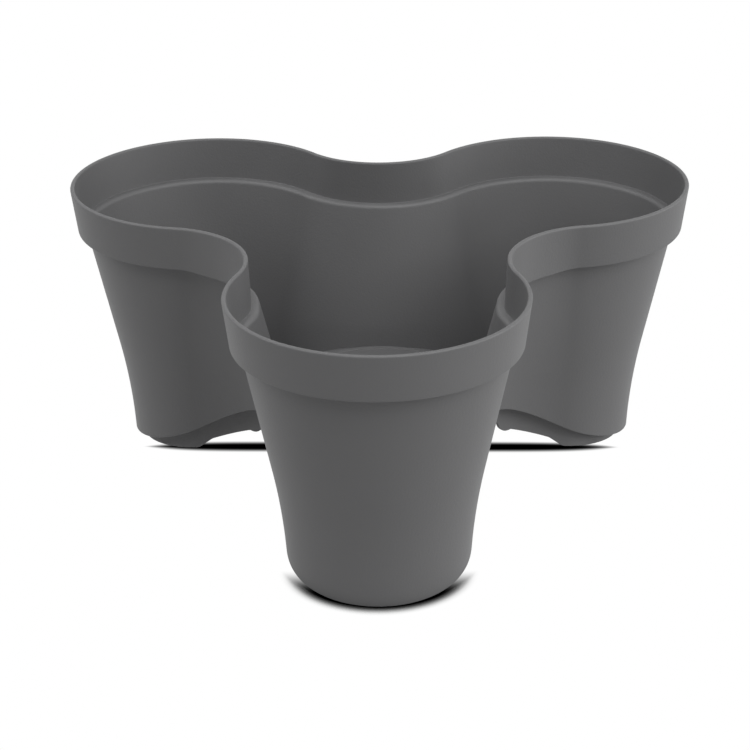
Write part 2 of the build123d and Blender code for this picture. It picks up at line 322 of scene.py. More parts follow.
def ring_mesh(name: str, grid: np.ndarray) -> bpy.types.Mesh:
    """Mesh over a grid of points that closes on itself both ways.

    Args:
        name: the mesh's name.
        grid: positions, sections by points of a section by 3.

    Returns:
        The mesh, with doubles merged and faces outwards.
    """
    sections, count = grid.shape[:2]
    corner = np.arange(sections * count).reshape(sections, count)
    on, up = np.roll(corner, -1, 0), np.roll(corner, -1, 1)
    faces = np.stack((corner, on, np.roll(on, -1, 1), up), -1).reshape(-1, 4)
    mesh = bpy.data.meshes.new(name)
    mesh.from_pydata(grid.reshape(-1, 3).tolist(), [], faces.tolist())
    return tidy(mesh)


def tidy(mesh: bpy.types.Mesh) -> bpy.types.Mesh:
    """Merges doubles, drops loose edges and helper attributes, turns faces outwards and shades smooth."""
    work = bmesh.new()
    work.from_mesh(mesh)
    bmesh.ops.remove_doubles(work, verts=work.verts, dist=WELD)
    bmesh.ops.dissolve_degenerate(work, edges=work.edges, dist=WELD)
    bmesh.ops.delete(work, geom=[edge for edge in work.edges if edge.is_wire], context="EDGES")
    bmesh.ops.recalc_face_normals(work, faces=work.faces)
    work.to_mesh(mesh)
    work.free()
    for name in SWEEP_ATTRIBUTES:
        if name in mesh.attributes:
            mesh.attributes.remove(mesh.attributes[name])
    mesh.shade_smooth()
    mesh.set_sharp_from_angle(angle=SHARP_ANGLE)
    return mesh


def turned(name: str, section: Sequence[Point], centre: Vector, sides: int) -> bpy.types.Mesh:
    """Solid of revolution about an upright axis.

    Args:
        name: the mesh's name.
        section: closed section as radius and height.
        centre: the axis, as a point on the ground.
        sides: number of sections.

    Returns:
        The mesh.
    """
    angles = np.arange(sides) * 2 * pi / sides
    radius, height = np.array(section).T
    grid = np.empty((sides, len(section), 3))
    grid[..., 0] = centre.x + np.outer(np.cos(angles), radius)
    grid[..., 1] = centre.y + np.outer(np.sin(angles), radius)
    grid[..., 2] = height
    return ring_mesh(name, grid)


def extruded(name: str, outline: Sequence[Triple], way: Vector, soft: float = 0.0) -> bpy.types.Mesh:
    """Solid between a flat outline and its copy.

    Args:
        name: the mesh's name.
        outline: corners of the outline, in order.
        way: from the outline to its copy.
        soft: how far the edges of both ends are bevelled, 0 for sharp ones.

    Returns:
        The mesh, before it is tidied.
    """
    work = bmesh.new()
    face = work.faces.new([work.verts.new(corner) for corner in outline])
    grown = bmesh.ops.extrude_face_region(work, geom=[face])["geom"]
    copies = [item for item in grown if isinstance(item, bmesh.types.BMVert)]
    bmesh.ops.translate(work, verts=copies, vec=way)
    if soft:
        ends = [(edge.verts[0].co - edge.verts[1].co).dot(way) for edge in work.edges]
        rims = [edge for edge, run in zip(work.edges, ends) if abs(run) < WELD * way.length]
        bmesh.ops.bevel(work, geom=rims, offset=soft, segments=4, profile=0.5, affect="EDGES")
    mesh = bpy.data.meshes.new(name)
    work.to_mesh(mesh)
    work.free()
    return mesh


def joined(name: str, meshes: Sequence[bpy.types.Mesh], material: bpy.types.Material) -> bpy.types.Object:
    """One object at the origin that holds several meshes.

    Args:
        name: the piece's name.
        meshes: closed meshes in place.
        material: the finish of all of them.

    Returns:
        The object, in the scene.
    """
    whole = bpy.data.meshes.new(name)
    work = bmesh.new()
    for mesh in meshes:
        work.from_mesh(mesh)
    work.to_mesh(whole)
    work.free()
    whole.materials.clear()
    whole.materials.append(material)
    whole.polygons.foreach_set("material_index", np.zeros(len(whole.polygons), np.int32))
    whole.set_sharp_from_angle(angle=SHARP_ANGLE)
    return in_scene(name, whole)


@dataclass(frozen=True)
class MouldedFinish:
    """Moulded surface with a fine grain in its relief and gloss and faint clouds in its colour."""

    name: str
    colour: Triple
    roughness: float
    grain: float = 1.3 * MM             # size of a grain
    grain_noise: tuple[float, float] = (2.0, 0.6)       # detail and roughness of the noise
    relief: float = 0.12 * MM           # height of the grain
    gloss_range: float = 0.06           # roughness differs by this much over the grain
    cloud: float = 45 * MM              # size of a cloud
    cloud_noise: tuple[float, float] = (3.0, 0.55)
    clouding: float = 0.05              # part by which the colour differs over the clouds

    def material(self) -> bpy.types.Material:
        """Builds the node material.

        Returns:
            The material, on object coordinates.
        """
        made = bpy.data.materials.new(self.name)
        made.use_nodes = True
        sheet = NodeSheet(made.node_tree)
        shader = made.node_tree.nodes["Principled BSDF"]
        place = sheet.add("ShaderNodeTexCoord").outputs["Object"]
        grain, clouds = (
            sheet.add("ShaderNodeTexNoise", {
                "Vector": place, "Scale": 1 / size, "Detail": detail, "Roughness": rough,
            }).outputs["Fac"]
            for size, (detail, rough) in ((self.grain, self.grain_noise), (self.cloud, self.cloud_noise))
        )
        parts = (1 - self.clouding, 1 + self.clouding)
        shades = [tuple(part * c for c in self.colour) + (1.0,) for part in parts]
        colour = sheet.add("ShaderNodeMix", data_type="RGBA")
        for socket, value in zip(MIX_INPUTS, (clouds, *shades)):
            sheet.feed(colour.inputs[socket], value)
        gloss = sheet.add("ShaderNodeMapRange", {
            "Value": grain,
            "To Min": self.roughness - self.gloss_range / 2,
            "To Max": self.roughness + self.gloss_range / 2,
        })
        relief = sheet.add("ShaderNodeBump", {"Height": grain, "Distance": self.relief, "Strength": 1.0})
        sheet.feed(shader.inputs["Base Color"], colour.outputs[MIX_COLOUR])
        sheet.feed(shader.inputs["Roughness"], gloss.outputs["Result"])
        sheet.feed(shader.inputs["Normal"], relief.outputs["Normal"])
        return made


@dataclass(frozen=True)
class Trefoil:
    """Plan of the planter: lobes and the hollow saddles between them, as rounds about fixed upright axes."""

    lobe_distance: float = 120 * MM     # planter axis to the axis of each lobe
    rim_radius: float = 82.5 * MM       # a lobe at the top of the rim
    saddle_radius: float = 52 * MM      # a saddle at the top of the rim
    lobe_steps: int = 140
    saddle_steps: int = 52

    @property
    def axis(self) -> Vector:
        """The planter's own axis, as a point on the ground."""
        return Vector((0.0, self.lobe_distance / 4, 0.0))

    @property
    def blend(self) -> float:
        """Distance from a lobe's axis to the axis of a saddle beside it."""
        return self.rim_radius + self.saddle_radius

    @property
    def saddle_distance(self) -> float:
        """Distance from the planter's axis to the axis of each saddle."""
        return (self.lobe_distance + sqrt(4 * self.blend**2 - 3 * self.lobe_distance**2)) / 2

    @property
    def lobe_half(self) -> float:
        """Half the angle of a lobe's round, in radians."""
        turn = pi / 3
        across = self.saddle_distance * sin(turn)
        return atan2(across, self.saddle_distance * cos(turn) - self.lobe_distance)

    @property
    def saddle_half(self) -> float:
        """Half the angle of a saddle's round, in radians."""
        return self.lobe_half - pi / 3

    def line(self, radius: float) -> tuple[np.ndarray, np.ndarray, np.ndarray]:
        """The closed outline where a lobe has a given radius.

        Args:
            radius: radius of a lobe.

        Returns:
            The points from the planter's axis, the directions that point out of the planter there, and the
            angles from a saddle's middle about the saddle's axis, or half a turn on the lobes.
        """
        points, outwards, turns = [], [], []
        for lobe in Lobe:
            way = radians(lobe.value)
            hollow = way + pi / 3
            lobe_angles = way + np.linspace(-self.lobe_half, self.lobe_half, self.lobe_steps, endpoint=False)
            saddle_angles = hollow + pi + np.linspace(
                self.saddle_half, -self.saddle_half, self.saddle_steps, endpoint=False
            )
            for angles, centre, distance, reach, sign in (
                (lobe_angles, way, self.lobe_distance, radius, 1),
                (saddle_angles, hollow, self.saddle_distance, self.blend - radius, -1),
            ):
                rays = np.stack((np.cos(angles), np.sin(angles), np.zeros_like(angles)), -1)
                points.append(distance * np.array((cos(centre), sin(centre), 0.0)) + reach * rays)
                outwards.append(sign * rays)
            turns.append(np.full_like(lobe_angles, pi))
            turns.append(np.abs(saddle_angles - hollow - pi))
        return np.concatenate(points), np.concatenate(outwards), np.concatenate(turns)

    def reach(self, angles: np.ndarray, radius: np.ndarray) -> np.ndarray:
        """Distance from the planter's axis to the outline, in given directions.

        Args:
            angles: directions from the planter's axis, in radians.
            radius: radius of a lobe at the height that counts in each direction.

        Returns:
            The distances.
        """
        front = radians(Lobe.FRONT.value)
        third = 2 * pi / 3
        away = np.abs((angles - front + third / 2) % third - third / 2)
        lobe_part = self.lobe_distance * np.cos(away) + np.sqrt(
            np.maximum(radius**2 - (self.lobe_distance * np.sin(away))**2, 0.0)
        )
        aside = pi / 3 - away
        saddle_part = self.saddle_distance * np.cos(aside) - np.sqrt(
            np.maximum((self.blend - radius)**2 - (self.saddle_distance * np.sin(aside))**2, 0.0)
        )
        border_x = self.lobe_distance + radius * cos(self.lobe_half)
        border = np.arctan2(radius * sin(self.lobe_half), border_x)
        return np.where(away <= border, lobe_part, saddle_part)


@dataclass(frozen=True)
class WallLine:
    """Upright section of the wall, from the rim down to the bend at its foot."""

    height: float
    wall: float = 2 * MM
    rim_wall: float = 2.6 * MM          # the band is a little thicker
    lip_round: float = 1.1 * MM
    band_height: float = 26.9 * MM      # the raised band round the rim
    band_draft: float = 3.4 * MM        # the band narrows by this much downwards
    band_step: float = 5.2 * MM         # the wall steps in by this much under the band
    band_edge_round: float = 0.7 * MM
    ledge_round: float = 2.8 * MM       # edge of the ledge inside
    ledge_corner: float = 0.2 * MM      # where the ledge meets the band
    corner_round: float = 0.6 * MM      # inner corner under the band
    saddle_out: float = 2.3 * MM        # at a saddle the band's lower edge lies further out
    saddle_dip: float = 1 * MM          # and lower
    saddle_spread: float = radians(25)  # angle about a saddle's axis over which this comes and goes
    foot_round: float = 0.4 * MM        # lower edge of the wall
    taper: float = radians(11.8)        # upper part of the wall, from upright
    foot_taper: float = radians(2)      # where the wall ends
    ease_height: float = 63 * MM        # below this height the wall bends from one taper to the other
    bend_steps: int = 14

    @property
    def band_bottom(self) -> float:
        """Height of the band's lower edge."""
        return self.height - self.band_height

    @property
    def top_drop(self) -> float:
        """How far the wall under the band lies inside the rim."""
        return self.band_draft + self.band_step

    @property
    def ease_drop(self) -> float:
        """How far the wall lies inside the rim where the bend starts."""
        return self.top_drop + (self.band_bottom - self.ease_height) * tan(self.taper)

    @property
    def ease_radius(self) -> float:
        """Radius of the bend."""
        return self.ease_height / (sin(self.taper) - sin(self.foot_taper))

    @property
    def ease_centre(self) -> Point:
        """Centre of the bend, as distance outside the rim and height."""
        return (
            self.ease_radius * cos(self.taper) - self.ease_drop,
            self.ease_height - self.ease_radius * sin(self.taper),
        )

    def bend_offset(self, height: np.ndarray, inset: float = 0.0) -> np.ndarray:
        """Place of the bend at a height, as distance outside the rim.

        Args:
            height: heights within the bend.
            inset: distance inside the outer face.

        Returns:
            The offsets, which are below zero inside the rim.
        """
        centre, level = self.ease_centre
        return centre - np.sqrt((self.ease_radius + inset)**2 - (height - level)**2)

    def section(self) -> tuple[np.ndarray, np.ndarray, np.ndarray]:
        """Closed section of the wall, drawn down to the ground.

        Returns:
            Offset from the rim, height, and distance inside the outer face (for the bend) of each point.
        """
        lean = self.rim_wall / cos(atan2(self.band_draft, self.band_height))
        ledge = self.band_bottom + self.wall
        ledge_offset = -lean - self.band_draft / self.band_height * (self.height - ledge)
        inner_foot = float(self.bend_offset(np.float64(self.ease_height), self.wall))
        ledge_edge = inner_foot + (ledge - self.ease_height) * tan(self.taper)
        upper = rounded_line([
            ((inner_foot, self.ease_height), 0.0),
            ((ledge_edge, ledge), self.ledge_round),
            ((ledge_offset, ledge), self.ledge_corner),
            ((-lean, self.height), self.lip_round),
            ((0.0, self.height), self.lip_round),
            ((-self.band_draft, self.band_bottom), self.band_edge_round),
            ((-self.top_drop, self.band_bottom), self.corner_round),
            ((-self.ease_drop, self.ease_height), 0.0),
        ], closed=False)
        lower = rounded_line([
            ((0.0, self.ease_height), 0.0),
            ((0.0, 0.0), self.foot_round),
            ((self.wall, 0.0), self.foot_round),
            ((self.wall, self.ease_height), 0.0),
        ], closed=False)
        levels = np.linspace(self.ease_height, 0.0, self.bend_steps, endpoint=False)[1:-1]
        down = [(0.0, level) for level in levels]
        up = [(self.wall, level) for level in levels[::-1]]
        foot = np.array(down + lower[1:-1] + up)
        inset = np.concatenate((np.zeros(len(upper)), foot[:, 0]))
        height = np.concatenate((np.array(upper)[:, 1], foot[:, 1]))
        foot_offset = self.bend_offset(foot[:, 1]) - foot[:, 0]
        return np.concatenate((np.array(upper)[:, 0], foot_offset)), height, inset


@dataclass(frozen=True)
class FloorLine:
    """The floor and the wall's lower edge in section, from the planter's axis outwards.

    Both follow one wave: a raised middle, a bend over its crest, a straight run and a long bend to a tip.
    """

    tip: Point                          # where the wave reaches a lobe's tip, as distance and height
    steep: float = radians(32)          # the straight run, from level
    crest_round: float = 48 * MM        # bend from the raised middle into the run
    trough_round: float = 180 * MM      # bend from the run to the tip
    tip_lean: float = radians(8.7)      # at the tip, from level
    thickness: float = 2 * MM
    plateau: float = 48 * MM            # underside of the raised middle
    lobe_floor: float = 14 * MM         # underside of the level floor in each lobe
    skirt: float = 1.2 * MM             # the wall reaches this far below the floor
    softness: float = 4 * MM            # how far the fold at the level floor is softened

    @property
    def trough(self) -> Point:
        """Centre of the bend to a lobe's tip."""
        return (
            self.tip[0] + self.trough_round * sin(self.tip_lean),
            self.tip[1] + self.trough_round * cos(self.tip_lean),
        )

    @property
    def crest(self) -> Point:
        """Centre of the bend from the raised middle."""
        both = self.crest_round + self.trough_round
        height = self.plateau - self.skirt - self.crest_round
        fall = height + both * cos(self.steep) - self.trough[1]
        return self.trough[0] - both * sin(self.steep) - fall / tan(self.steep), height

    def sizes(self, above: float) -> dict[str, float]:
        """Sizes of a line above the wave, under the names that a sweep gives them.

        Args:
            above: distance above the wall's lower edge.

        Returns:
            The sizes by name.
        """
        inner, outer = self.crest_round + above, self.trough_round - above
        return {
            "Crest distance": self.crest[0],
            "Crest height": self.crest[1],
            "Crest radius": inner,
            "Brow distance": self.crest[0] + inner * sin(self.steep),
            "Run slope": tan(self.steep),
            "Foot distance": self.trough[0] - outer * sin(self.steep),
            "Trough distance": self.trough[0],
            "Trough radius": outer,
        }

    def height(self, distance: np.ndarray, above: float) -> np.ndarray:
        """Height of the floor at a distance from the planter's axis.

        Args:
            distance: distances from the planter's axis.
            above: distance above the floor's underside.

        Returns:
            The heights, with a softened fold at the level floor.
        """
        line = self.sizes(self.skirt + above)
        crest, brow, foot, trough = (line[f"{stop} distance"] for stop in WAVE_STOPS)
        over = np.clip(distance, crest, brow) - crest
        under = trough - np.clip(distance, foot, trough)
        crown = line["Crest height"] + np.sqrt(line["Crest radius"]**2 - over**2)
        run = line["Run slope"] * (np.clip(distance, brow, foot) - brow)
        bend = line["Trough radius"]**2
        dip = np.sqrt(bend - under**2) - sqrt(bend - (trough - foot)**2)
        wave, level = crown - run - dip, self.lobe_floor + above
        # The smooth maximum of a math node: the higher of the two, lifted by a cubic blend where they meet.
        blend = np.maximum(self.softness - np.abs(wave - level), 0.0) / self.softness
        return np.maximum(wave, level) + blend**3 * self.softness / 6


class PerforationTree(GeometryTree):
    """Cuts a ring of equal openings about an upright axis."""

    def __init__(self) -> None:
        """Builds the tree: a cutter is repeated about the axis and taken away from the mesh."""
        super().__init__("ring of openings", {
            "Cutter": "NodeSocketObject",
            "Axis": "NodeSocketVector",
            "Count": "NodeSocketInt",
        })
        count = self.given("Count")
        places = self.add("GeometryNodeMeshLine", {
            "Count": count, "Start Location": self.given("Axis"), "Offset": (0.0, 0.0, 0.0),
        })
        index = Field(self, self.add("GeometryNodeInputIndex").outputs[0])
        turn = self.upright(index * (2 * pi) / count)
        cutters = self.add("GeometryNodeInstanceOnPoints", {
            "Points": places.outputs[0], "Instance": self.shape_of("Cutter"), "Rotation": turn,
        })
        solid = self.add("GeometryNodeRealizeInstances", {"Geometry": cutters.outputs[0]})
        cut = self.add("GeometryNodeMeshBoolean", operation="DIFFERENCE", solver="EXACT")
        self.feed(cut.inputs["Mesh 1"], self.source.outputs["Geometry"])
        self.feed(cut.inputs["Mesh 2"], solid.outputs[0])
        self.close(cut.outputs["Mesh"])

    def ring(self, mesh: bpy.types.Mesh, cutter: bpy.types.Mesh, axis: Vector, count: int,
             material: bpy.types.Material) -> bpy.types.Mesh:
        """Cuts one ring of openings.

        Args:
            mesh: the mesh to cut.
            cutter: shape of the first opening, drawn about the origin.
            axis: the axis that the openings stand round, as a point on the ground.
            count: number of openings.
            material: the finish.

        Returns:
            The cut mesh, tidied.
        """
        return tidy(self.run(mesh, {"Cutter": cutter, "Axis": axis, "Count": count, "Material": material}))


class SweepTree(GeometryTree):
    """Sweeps a section round the trefoil. How each point is placed is given by a subclass."""

    def __init__(self, name: str, sizes: dict[str, float]) -> None:
        """Builds the tree.

        Args:
            name: the tree's name.
            sizes: the sizes that the subclass and the wave ask for, by name.
        """
        self.sizes = sizes
        super().__init__(name, {"Section": "NodeSocketObject", **dict.fromkeys(sizes, "NodeSocketFloat")})
        path = self.add("GeometryNodeMeshToCurve", {"Mesh": self.source.outputs["Geometry"]})
        section = self.add("GeometryNodeMeshToCurve", {"Mesh": self.shape_of("Section")})
        sweep = self.add(
            "GeometryNodeCurveToMesh", {"Curve": path.outputs[0], "Profile Curve": section.outputs[0]}
        )
        self.base = self.attribute("base", "FLOAT_VECTOR")
        self.outward = self.attribute("outward", "FLOAT_VECTOR")
        self.offset = self.attribute("offset")
        self.level = self.attribute("level")
        self.inset = self.attribute("inset")
        placed = self.add("GeometryNodeSetPosition", {"Geometry": sweep.outputs[0], "Position": self.place()})
        self.close(placed.outputs[0])

    def place(self) -> Field:
        """Position of each point, from the planter's axis."""
        raise NotImplementedError

    def point(self, offset: Value, height: Value) -> Field:
        """Position at an offset from the rim's outline and a height."""
        across = self.vector("ADD", self.base, self.scaled(self.outward, offset))
        return self.vector("ADD", across, self.upright(height))

    def away(self, offset: Value) -> Field:
        """Distance from the planter's axis at an offset from the rim's outline."""
        return self.level_length(self.vector("ADD", self.base, self.scaled(self.outward, offset)))

    def wave(self, away: Field) -> Field:
        """Height of the line that the wave's sizes give, at a distance from the planter's axis."""
        crest, brow, foot, trough = (self.given(f"{stop} distance") for stop in WAVE_STOPS)
        over = away.most(crest).least(brow) - crest
        under = trough - away.most(foot).least(trough)
        crown = self.given("Crest height") + (self.given("Crest radius").squared() - over.squared()).root()
        run = self.given("Run slope") * (away.most(brow).least(foot) - brow)
        bend = self.given("Trough radius").squared()
        dip = (bend - under.squared()).root() - (bend - (trough - foot).squared()).root()
        return crown - run - dip

    def stretched(self, low: Field, high: Value, drawn: float | Field, keep: float) -> Field:
        """Height of a point when its section is stretched between two heights.

        Args:
            low: height that the section's lowest point gets.
            high: height that its highest point gets.
            drawn: height that the section is drawn with.
            keep: length at the lower end that isn't stretched, so that its rounds stay round.

        Returns:
            The height.
        """
        kept = self.level.least(keep)
        rest = (self.level - keep).most(0.0)
        return low + kept + rest * (high - low - keep) / (drawn - keep)

    def run_round(self, plan: Trefoil, section: tuple[np.ndarray, ...], radius: float,
                  material: bpy.types.Material) -> bpy.types.Mesh:
        """Runs the sweep and moves it to the planter's axis.

        Args:
            plan: the trefoil to follow.
            section: offset, height and inset of each point of the closed section.
            radius: radius of a lobe on the outline that offsets count from.
            material: the finish.

        Returns:
            The mesh, tidied and in place.
        """
        base, outward, turn = plan.line(radius)
        path = loop_mesh("trefoil line", base, {"base": base, "outward": outward, "turn": turn})
        offset, level, inset = section
        flat = np.stack((offset, level, np.zeros_like(offset)), -1)
        profile = loop_mesh("section", flat, {"offset": offset, "level": level, "inset": inset})
        mesh = self.run(path, {**self.sizes, "Section": profile, "Material": material})
        mesh.transform(Matrix.Translation(plan.axis))
        return tidy(mesh)


class WallTree(SweepTree):
    """The wall: its section swept round the trefoil, with a lower edge that rises in waves to the saddles."""

    KEEP = 2 * MM       # the lower end of the section isn't stretched over this length
    TRIES = 3           # the height of the lower edge is bettered this many times

    def bend(self, height: Value) -> Field:
        """Offset from the rim of the wall's bend at a height."""
        reach = self.given("Ease radius") + self.inset
        drop = height - self.given("Ease level")
        return self.given("Ease centre") - (reach.squared() - drop.squared()).root()

    def upper(self) -> Field:
        """The upper wall as drawn, but at a saddle the band's lower edge lies lower and further out."""
        rim, band, ease, half = (
            self.given(name) for name in ("Rim height", "Band height", "Ease height", "Saddle half")
        )
        share = ((rim - self.level) / band).least(1.0) * self.ramp(self.level, ease, rim - band)
        share = share * self.ramp(self.attribute("turn"), half, half - self.given("Saddle spread"))
        return self.point(
            self.offset + share * self.given("Saddle out"), self.level - share * self.given("Saddle dip")
        )

    def place(self) -> Field:
        """The upper wall, and the bend stretched down to the wave."""
        ease = self.given("Ease height")
        edge = ease / 2
        for _ in range(self.TRIES):
            edge = self.wave(self.away(self.bend(edge)))
        height = self.stretched(edge, ease, ease, self.KEEP)
        below = self.add("FunctionNodeCompare", {"A": self.level, "B": ease}, operation="LESS_THAN")
        switch = self.add("GeometryNodeSwitch", input_type="VECTOR")
        self.feed(switch.inputs["Switch"], below.outputs[0])
        self.feed(switch.inputs["False"], self.upper())
        self.feed(switch.inputs["True"], self.point(self.bend(height), height))
        return Field(self, switch.outputs[0])


class RibTree(SweepTree):
    """The stand rib: a thin upright wall under the floor, low under the lobes and high under the saddles."""

    KEEP = 1 * MM       # the lower end of the section isn't stretched over this length
    BESIDE = 1e4        # lifts the line of a lug's bottom out of the way beside the lug

    def line(self, start: str, end: str, away: Field) -> Field:
        """Height of the straight line through two stops of the rib's lower edge."""
        first, last = self.given(f"{start} distance"), self.given(f"{end} distance")
        height = self.given(f"{start} height")
        return height + (self.given(f"{end} height") - height) * (away - first) / (last - first)

    def lower(self, away: Field) -> Field:
        """Height of the rib's lower edge at a distance from the planter's axis, without the lugs."""
        rise, run, drop, foot = (self.line(*ends, away) for ends in zip(RIB_STOPS, RIB_STOPS[1:]))
        edge = self.math("SMOOTH_MIN", run, drop, self.given("Knee softness"))
        edge = self.math("SMOOTH_MAX", edge, foot, self.given("Heel softness"))
        edge = self.math("SMOOTH_MAX", edge, self.given("Ground height"), self.given("Ground softness"))
        rise = self.math("SMOOTH_MIN", rise, self.given("Rise height"), self.given("Rise softness"))
        return self.math("SMOOTH_MAX", edge, rise, self.given("Hip softness"))

    def lug(self) -> Field:
        """Height of a lug's round bottom, or a place out of the way beside the lug."""
        along = (self.attribute("turn") - self.given("Lug angle")) * self.given("Lug reach")
        room = self.given("Lug round").squared() - along.squared()
        return self.given("Lug height") - room.most(0.0).root() + (0.0 - room).most(0.0) * self.BESIDE

    def place(self) -> Field:
        """The section stretched between the rib's lower edge and the middle of the floor."""
        away = self.away(self.offset)
        low = self.lower(away).least(self.lug())
        top = self.wave(away).most(self.given("Lowest top"))
        return self.point(self.offset, self.stretched(low, top, self.given("Drawn height"), self.KEEP))


@dataclass(frozen=True)
class RibLine:
    """Lower edge of the stand rib in section, and the lugs on it.

    Each stop is a distance from the planter's axis, a height and how far the bend there is softened.
    """

    rise: Triple = (63.6 * MM, 38 * MM, 3.7 * MM)       # end of the raised part in the middle of a saddle
    hip: Triple = (74.4 * MM, 24.4 * MM, 1.8 * MM)      # foot of the rise
    knee: Triple = (104 * MM, 11.6 * MM, 0.4 * MM)      # start of the drop to the foot
    heel: Triple = (112.6 * MM, 4.8 * MM, 1.6 * MM)     # end of the drop
    ground: Triple = (150 * MM, 0.0, 0.6 * MM)          # where the rib meets the ground
    lug_angle: float = radians(26.5)    # to each side of a saddle's middle, about the saddle's axis
    lug_drop: float = 1.4 * MM          # below the rib's lower edge
    lug_round: float = 7.5 * MM

    def sizes(self, plan: Trefoil, reach: float) -> dict[str, float]:
        """Sizes of the line and the lugs, under the names that the sweep gives them.

        Args:
            plan: the trefoil that the rib follows.
            reach: distance of the rib's middle from a saddle's axis.

        Returns:
            The sizes by name.
        """
        across, along = reach * sin(self.lug_angle), plan.saddle_distance - reach * cos(self.lug_angle)
        share = (sqrt(across**2 + along**2) - self.hip[0]) / (self.knee[0] - self.hip[0])
        edge = self.hip[1] + share * (self.knee[1] - self.hip[1])
        sizes = {
            "Lug angle": self.lug_angle,
            "Lug reach": reach,
            "Lug round": self.lug_round,
            "Lug height": edge - self.lug_drop + self.lug_round,
        }
        for stop in RIB_STOPS:
            sizes.update(zip((f"{stop} {size}" for size in STOP_SIZES), getattr(self, stop.lower())))
        return sizes


@dataclass
class PlanterBody:
    """The one moulding: wall, floor, collar and stand rib with its lugs."""

    plan: Trefoil
    finish: MouldedFinish
    wall: WallLine
    perforate: PerforationTree
    tip_clearance: float = 0.4 * MM     # the wall's lower edge stays this far off the ground at a lobe's tip
    opening_radius: float = 40 * MM     # the middle opening
    drain_radius: float = 8 * MM
    collar_radius: float = 51 * MM
    collar_wall: float = 3.7 * MM
    collar_height: float = 6.5 * MM
    collar_round: float = 0.3 * MM
    rib: float = 2.4 * MM
    rib_inset: float = 5 * MM           # inside the outer face of the wall's foot
    rib_round: float = 0.4 * MM
    rib_line: RibLine = RibLine()
    rib_drawn: float = 10 * MM          # height that the rib's section is drawn with
    rib_steps: int = 220                # along each saddle
    floor_steps: int = 360
    floor_tries: int = 6                # the floor's edge in the wall is bettered this many times
    ring_pitch: float = 3 * MM
    collar_sides: int = 180
    drain_sides: int = 64
    floor: FloorLine = field(init=False)

    def __post_init__(self) -> None:
        """Works out the floor's wave from the tip of a lobe."""
        tip = self.plan.lobe_distance + self.radius_at(self.tip_clearance)
        self.floor = FloorLine((tip, self.tip_clearance))

    def radius_at(self, height: float, inset: float = 0.0) -> float:
        """Radius of a lobe at a height within the wall's bend."""
        return self.plan.rim_radius + float(self.wall.bend_offset(np.float64(height), inset))

    @property
    def rib_radius(self) -> float:
        """Radius of a lobe on the rib's outer face."""
        return self.radius_at(0.0) - self.rib_inset

    @property
    def drain_distance(self) -> float:
        """Distance of each drain hole from the planter's axis, in the middle of the level floor."""
        level = self.floor.lobe_floor + self.floor.thickness
        radius = self.floor.trough_round - self.floor.skirt - self.floor.thickness
        start = self.floor.trough[0] - sqrt(radius**2 - (self.floor.trough[1] - level)**2)
        end = self.plan.lobe_distance + self.radius_at(level) - self.wall.wall
        return (start + end) / 2

    def wall_mesh(self, material: bpy.types.Material) -> bpy.types.Mesh:
        """The wall with its rim band, ledge and waved lower edge."""
        sizes = {
            "Ease height": self.wall.ease_height,
            "Ease radius": self.wall.ease_radius,
            "Ease centre": self.wall.ease_centre[0],
            "Ease level": self.wall.ease_centre[1],
            "Rim height": self.wall.height,
            "Band height": self.wall.band_height,
            "Saddle half": self.plan.saddle_half,
            "Saddle spread": self.wall.saddle_spread,
            "Saddle out": self.wall.saddle_out,
            "Saddle dip": self.wall.saddle_dip,
            **self.floor.sizes(0.0),
        }
        tree = WallTree("wall round the trefoil", sizes)
        return tree.run_round(self.plan, self.wall.section(), self.plan.rim_radius, material)

    def rib_mesh(self, material: bpy.types.Material) -> bpy.types.Mesh:
        """The stand rib with its lugs."""
        drawn = self.rib_drawn
        corners = ((0.0, 0.0), (-self.rib, 0.0), (-self.rib, drawn), (0.0, drawn))
        rounds = (self.rib_round, self.rib_round, 0.0, 0.0)
        offset, level = np.array(rounded_line(list(zip(corners, rounds)), closed=True)).T
        middle = self.floor.thickness / 2
        reach = self.plan.blend - self.rib_radius + self.rib / 2
        sizes = {
            "Drawn height": drawn,
            "Lowest top": self.floor.lobe_floor + middle,
            **self.rib_line.sizes(self.plan, reach),
            **self.floor.sizes(self.floor.skirt + middle),
        }
        tree = RibTree("stand rib round the trefoil", sizes)
        plan = replace(self.plan, saddle_steps=self.rib_steps)
        return tree.run_round(plan, (offset, level, np.zeros_like(offset)), self.rib_radius, material)

    def floor_mesh(self, material: bpy.types.Material) -> bpy.types.Mesh:
        """The floor with its middle opening and drain holes."""
        angles = np.arange(self.floor_steps) * 2 * pi / self.floor_steps
        furthest = self.plan.lobe_distance + self.plan.rim_radius
        rings = np.arange(self.opening_radius, furthest, self.ring_pitch)
        half = self.wall.wall / 2
        sides = []
        for above in (self.floor.thickness, 0.0):
            edge = np.full_like(angles, self.plan.lobe_distance)
            for _ in range(self.floor_tries):
                level = self.floor.height(edge, above)
                edge = self.plan.reach(angles, self.plan.rim_radius + self.wall.bend_offset(level, half))
            away = np.minimum(rings[None, :], edge[:, None])
            level = self.floor.height(away, above)
            sides.append(np.stack((
                away * np.cos(angles)[:, None], away * np.sin(angles)[:, None], level
            ), -1))
        grid = np.concatenate((sides[0], sides[1][:, ::-1]), 1) + np.array(self.plan.axis)
        plate = ring_mesh("floor", grid)
        under = self.floor.lobe_floor - self.floor.thickness
        over = self.floor.lobe_floor + 2 * self.floor.thickness
        start = radians(Lobe.FRONT.value)
        hole = Vector((cos(start), sin(start), 0.0)) * self.drain_distance
        radius = self.drain_radius
        section = [(0.0, under), (radius, under), (radius, over), (0.0, over)]
        cutter = turned("drain hole", section, hole, self.drain_sides)
        return self.perforate.ring(plate, cutter, self.plan.axis, len(Lobe), material)

